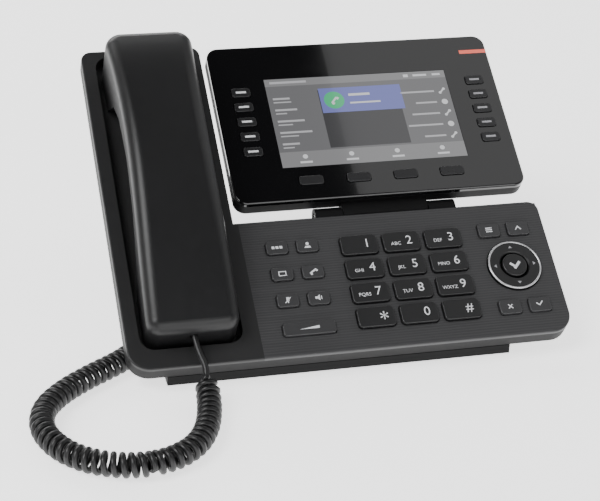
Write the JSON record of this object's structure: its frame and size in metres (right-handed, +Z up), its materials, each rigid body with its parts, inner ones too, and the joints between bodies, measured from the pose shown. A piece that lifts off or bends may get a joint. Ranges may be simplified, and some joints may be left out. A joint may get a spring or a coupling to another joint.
{
  "type": "desk ip phone",
  "caption": "Sloping desk telephone with a tilting colour display, a keypad, and a corded handset resting in a cradle on its left.",
  "frame": {"origin": "on the desk, under the middle of the phone, its handset cord left out", "axes": "+X to the user's right, +Y away from the user, +Z up"},
  "size_m": [0.3033, 0.2621, 0.1402],
  "materials": {
    "case_black": "fine matte texture",
    "handset_black": "satin",
    "faceplate_grey": "matte with fine grooves",
    "key_black": "satin",
    "display_gloss": "polished",
    "screen": "polished cover over a lit screen",
    "lamp_red": "translucent, lit",
    "nav_silver": "satin with a metallised rim",
    "rubber_black": "matte",
    "board_green": "solder mask",
    "steel": "zinc plated",
    "speaker_frame": "moulded frame with a fabric-like cone",
    "cord_black": "satin vinyl"
  },
  "bodies": {
    "base": {"case_screws": "steel", "cord_coil": "cord_black", "cord_straight_ends": "cord_black", "cradle_shell": "case_black", "foot_stand": "case_black", "hinge_pin": "steel", "keypad_faceplate": "faceplate_grey", "loudspeaker": "speaker_frame", "lower_shell": "case_black", "main_circuit_board": "board_green", "rubber_feet": "rubber_black", "socket_block": "case_black"},
    "display": {"display_rear_shell": "case_black", "display_front_panel": "display_gloss", "lcd_panel": "screen", "message_lamp": "lamp_red"},
    "handset": {"handset_outer_shell": "handset_black", "handset_inner_shell": "handset_black", "handset_receiver": "speaker_frame", "handset_microphone": "speaker_frame"},
    "hook": {"hook_switch": "case_black"},
    "nav_ring": {"nav_ring": "nav_silver"},
    "ok_button": {"ok_button": "key_black"},
    "dial_key_0": {"dial_key_0": "key_black"},
    "dial_key_1": {"dial_key_1": "key_black"},
    "dial_key_2": {"dial_key_2": "key_black"},
    "dial_key_3": {"dial_key_3": "key_black"},
    "dial_key_4": {"dial_key_4": "key_black"},
    "dial_key_5": {"dial_key_5": "key_black"},
    "dial_key_6": {"dial_key_6": "key_black"},
    "dial_key_7": {"dial_key_7": "key_black"},
    "dial_key_8": {"dial_key_8": "key_black"},
    "dial_key_9": {"dial_key_9": "key_black"},
    "dial_key_hash": {"dial_key_hash": "key_black"},
    "dial_key_star": {"dial_key_star": "key_black"},
    "function_key_1_1": {"function_key_1_1": "faceplate_grey"},
    "function_key_1_2": {"function_key_1_2": "faceplate_grey"},
    "function_key_2_1": {"function_key_2_1": "faceplate_grey"},
    "function_key_2_2": {"function_key_2_2": "faceplate_grey"},
    "function_key_3_1": {"function_key_3_1": "faceplate_grey"},
    "function_key_3_2": {"function_key_3_2": "faceplate_grey"},
    "line_key_left_1": {"line_key_left_1": "key_black"},
    "line_key_left_2": {"line_key_left_2": "key_black"},
    "line_key_left_3": {"line_key_left_3": "key_black"},
    "line_key_left_4": {"line_key_left_4": "key_black"},
    "line_key_left_5": {"line_key_left_5": "key_black"},
    "line_key_right_1": {"line_key_right_1": "key_black"},
    "line_key_right_2": {"line_key_right_2": "key_black"},
    "line_key_right_3": {"line_key_right_3": "key_black"},
    "line_key_right_4": {"line_key_right_4": "key_black"},
    "line_key_right_5": {"line_key_right_5": "key_black"},
    "side_function_key_1_1": {"side_function_key_1_1": "faceplate_grey"},
    "side_function_key_1_2": {"side_function_key_1_2": "faceplate_grey"},
    "side_function_key_2_1": {"side_function_key_2_1": "faceplate_grey"},
    "side_function_key_2_2": {"side_function_key_2_2": "faceplate_grey"},
    "soft_key_1": {"soft_key_1": "key_black"},
    "soft_key_2": {"soft_key_2": "key_black"},
    "soft_key_3": {"soft_key_3": "key_black"},
    "soft_key_4": {"soft_key_4": "key_black"},
    "wide_function_key": {"wide_function_key": "faceplate_grey"}
  },
  "joints": [
    {"name": "display_tilt", "type": "hinge", "parent": "base", "child": "display", "pos_m": [0.03485, -0.0104, 0.05399], "axis": [1, 0, 0], "range_deg": [0, 35]},
    {"name": "handset_lift", "type": "slide", "parent": "base", "child": "handset", "axis": [0, -0.5, 0.866], "range_m": [0, 0.06]},
    {"name": "hook_rise", "type": "slide", "parent": "base", "child": "hook", "axis": [0, -0.5, 0.866], "range_m": [0, 0.003]},
    {"name": "nav_ring_rock", "type": "hinge", "parent": "base", "child": "nav_ring", "pos_m": [0.0995, -0.05409, 0.03466], "axis": [1, 0, 0], "range_deg": [-2, 2], "stiffness_Nm_per_rad": 0.2},
    {"name": "ok_button_press", "type": "slide", "parent": "base", "child": "ok_button", "axis": [0, 0.5, -0.866], "range_m": [0, 0.001], "stiffness_N_per_m": 300, "springref_m": -0.001},
    {"name": "dial_key_0_press", "type": "slide", "parent": "base", "child": "dial_key_0", "axis": [0, 0.5, -0.866], "range_m": [0, 0.001], "stiffness_N_per_m": 300, "springref_m": -0.001},
    {"name": "dial_key_1_press", "type": "slide", "parent": "base", "child": "dial_key_1", "axis": [0, 0.5, -0.866], "range_m": [0, 0.001], "stiffness_N_per_m": 300, "springref_m": -0.001},
    {"name": "dial_key_2_press", "type": "slide", "parent": "base", "child": "dial_key_2", "axis": [0, 0.5, -0.866], "range_m": [0, 0.001], "stiffness_N_per_m": 300, "springref_m": -0.001},
    {"name": "dial_key_3_press", "type": "slide", "parent": "base", "child": "dial_key_3", "axis": [0, 0.5, -0.866], "range_m": [0, 0.001], "stiffness_N_per_m": 300, "springref_m": -0.001},
    {"name": "dial_key_4_press", "type": "slide", "parent": "base", "child": "dial_key_4", "axis": [0, 0.5, -0.866], "range_m": [0, 0.001], "stiffness_N_per_m": 300, "springref_m": -0.001},
    {"name": "dial_key_5_press", "type": "slide", "parent": "base", "child": "dial_key_5", "axis": [0, 0.5, -0.866], "range_m": [0, 0.001], "stiffness_N_per_m": 300, "springref_m": -0.001},
    {"name": "dial_key_6_press", "type": "slide", "parent": "base", "child": "dial_key_6", "axis": [0, 0.5, -0.866], "range_m": [0, 0.001], "stiffness_N_per_m": 300, "springref_m": -0.001},
    {"name": "dial_key_7_press", "type": "slide", "parent": "base", "child": "dial_key_7", "axis": [0, 0.5, -0.866], "range_m": [0, 0.001], "stiffness_N_per_m": 300, "springref_m": -0.001},
    {"name": "dial_key_8_press", "type": "slide", "parent": "base", "child": "dial_key_8", "axis": [0, 0.5, -0.866], "range_m": [0, 0.001], "stiffness_N_per_m": 300, "springref_m": -0.001},
    {"name": "dial_key_9_press", "type": "slide", "parent": "base", "child": "dial_key_9", "axis": [0, 0.5, -0.866], "range_m": [0, 0.001], "stiffness_N_per_m": 300, "springref_m": -0.001},
    {"name": "dial_key_hash_press", "type": "slide", "parent": "base", "child": "dial_key_hash", "axis": [0, 0.5, -0.866], "range_m": [0, 0.001], "stiffness_N_per_m": 300, "springref_m": -0.001},
    {"name": "dial_key_star_press", "type": "slide", "parent": "base", "child": "dial_key_star", "axis": [0, 0.5, -0.866], "range_m": [0, 0.001], "stiffness_N_per_m": 300, "springref_m": -0.001},
    {"name": "function_key_1_1_press", "type": "slide", "parent": "base", "child": "function_key_1_1", "axis": [0, 0.5, -0.866], "range_m": [0, 0.001], "stiffness_N_per_m": 300, "springref_m": -0.001},
    {"name": "function_key_1_2_press", "type": "slide", "parent": "base", "child": "function_key_1_2", "axis": [0, 0.5, -0.866], "range_m": [0, 0.001], "stiffness_N_per_m": 300, "springref_m": -0.001},
    {"name": "function_key_2_1_press", "type": "slide", "parent": "base", "child": "function_key_2_1", "axis": [0, 0.5, -0.866], "range_m": [0, 0.001], "stiffness_N_per_m": 300, "springref_m": -0.001},
    {"name": "function_key_2_2_press", "type": "slide", "parent": "base", "child": "function_key_2_2", "axis": [0, 0.5, -0.866], "range_m": [0, 0.001], "stiffness_N_per_m": 300, "springref_m": -0.001},
    {"name": "function_key_3_1_press", "type": "slide", "parent": "base", "child": "function_key_3_1", "axis": [0, 0.5, -0.866], "range_m": [0, 0.001], "stiffness_N_per_m": 300, "springref_m": -0.001},
    {"name": "function_key_3_2_press", "type": "slide", "parent": "base", "child": "function_key_3_2", "axis": [0, 0.5, -0.866], "range_m": [0, 0.001], "stiffness_N_per_m": 300, "springref_m": -0.001},
    {"name": "line_key_left_1_press", "type": "slide", "parent": "display", "child": "line_key_left_1", "axis": [0, 0.5, -0.866], "range_m": [0, 0.0006], "stiffness_N_per_m": 300, "springref_m": -0.001},
    {"name": "line_key_left_2_press", "type": "slide", "parent": "display", "child": "line_key_left_2", "axis": [0, 0.5, -0.866], "range_m": [0, 0.0006], "stiffness_N_per_m": 300, "springref_m": -0.001},
    {"name": "line_key_left_3_press", "type": "slide", "parent": "display", "child": "line_key_left_3", "axis": [0, 0.5, -0.866], "range_m": [0, 0.0006], "stiffness_N_per_m": 300, "springref_m": -0.001},
    {"name": "line_key_left_4_press", "type": "slide", "parent": "display", "child": "line_key_left_4", "axis": [0, 0.5, -0.866], "range_m": [0, 0.0006], "stiffness_N_per_m": 300, "springref_m": -0.001},
    {"name": "line_key_left_5_press", "type": "slide", "parent": "display", "child": "line_key_left_5", "axis": [0, 0.5, -0.866], "range_m": [0, 0.0006], "stiffness_N_per_m": 300, "springref_m": -0.001},
    {"name": "line_key_right_1_press", "type": "slide", "parent": "display", "child": "line_key_right_1", "axis": [0, 0.5, -0.866], "range_m": [0, 0.0006], "stiffness_N_per_m": 300, "springref_m": -0.001},
    {"name": "line_key_right_2_press", "type": "slide", "parent": "display", "child": "line_key_right_2", "axis": [0, 0.5, -0.866], "range_m": [0, 0.0006], "stiffness_N_per_m": 300, "springref_m": -0.001},
    {"name": "line_key_right_3_press", "type": "slide", "parent": "display", "child": "line_key_right_3", "axis": [0, 0.5, -0.866], "range_m": [0, 0.0006], "stiffness_N_per_m": 300, "springref_m": -0.001},
    {"name": "line_key_right_4_press", "type": "slide", "parent": "display", "child": "line_key_right_4", "axis": [0, 0.5, -0.866], "range_m": [0, 0.0006], "stiffness_N_per_m": 300, "springref_m": -0.001},
    {"name": "line_key_right_5_press", "type": "slide", "parent": "display", "child": "line_key_right_5", "axis": [0, 0.5, -0.866], "range_m": [0, 0.0006], "stiffness_N_per_m": 300, "springref_m": -0.001},
    {"name": "side_function_key_1_1_press", "type": "slide", "parent": "base", "child": "side_function_key_1_1", "axis": [0, 0.5, -0.866], "range_m": [0, 0.001], "stiffness_N_per_m": 300, "springref_m": -0.001},
    {"name": "side_function_key_1_2_press", "type": "slide", "parent": "base", "child": "side_function_key_1_2", "axis": [0, 0.5, -0.866], "range_m": [0, 0.001], "stiffness_N_per_m": 300, "springref_m": -0.001},
    {"name": "side_function_key_2_1_press", "type": "slide", "parent": "base", "child": "side_function_key_2_1", "axis": [0, 0.5, -0.866], "range_m": [0, 0.001], "stiffness_N_per_m": 300, "springref_m": -0.001},
    {"name": "side_function_key_2_2_press", "type": "slide", "parent": "base", "child": "side_function_key_2_2", "axis": [0, 0.5, -0.866], "range_m": [0, 0.001], "stiffness_N_per_m": 300, "springref_m": -0.001},
    {"name": "soft_key_1_press", "type": "slide", "parent": "display", "child": "soft_key_1", "axis": [0, 0.5, -0.866], "range_m": [0, 0.0006], "stiffness_N_per_m": 300, "springref_m": -0.001},
    {"name": "soft_key_2_press", "type": "slide", "parent": "display", "child": "soft_key_2", "axis": [0, 0.5, -0.866], "range_m": [0, 0.0006], "stiffness_N_per_m": 300, "springref_m": -0.001},
    {"name": "soft_key_3_press", "type": "slide", "parent": "display", "child": "soft_key_3", "axis": [0, 0.5, -0.866], "range_m": [0, 0.0006], "stiffness_N_per_m": 300, "springref_m": -0.001},
    {"name": "soft_key_4_press", "type": "slide", "parent": "display", "child": "soft_key_4", "axis": [0, 0.5, -0.866], "range_m": [0, 0.0006], "stiffness_N_per_m": 300, "springref_m": -0.001},
    {"name": "wide_function_key_press", "type": "slide", "parent": "base", "child": "wide_function_key", "axis": [0, 0.5, -0.866], "range_m": [0, 0.001], "stiffness_N_per_m": 300, "springref_m": -0.001}
  ],
  "couplings": [
    {"joint": "hook_rise", "follows": "handset_lift", "ratio": 0.05}
  ]
}
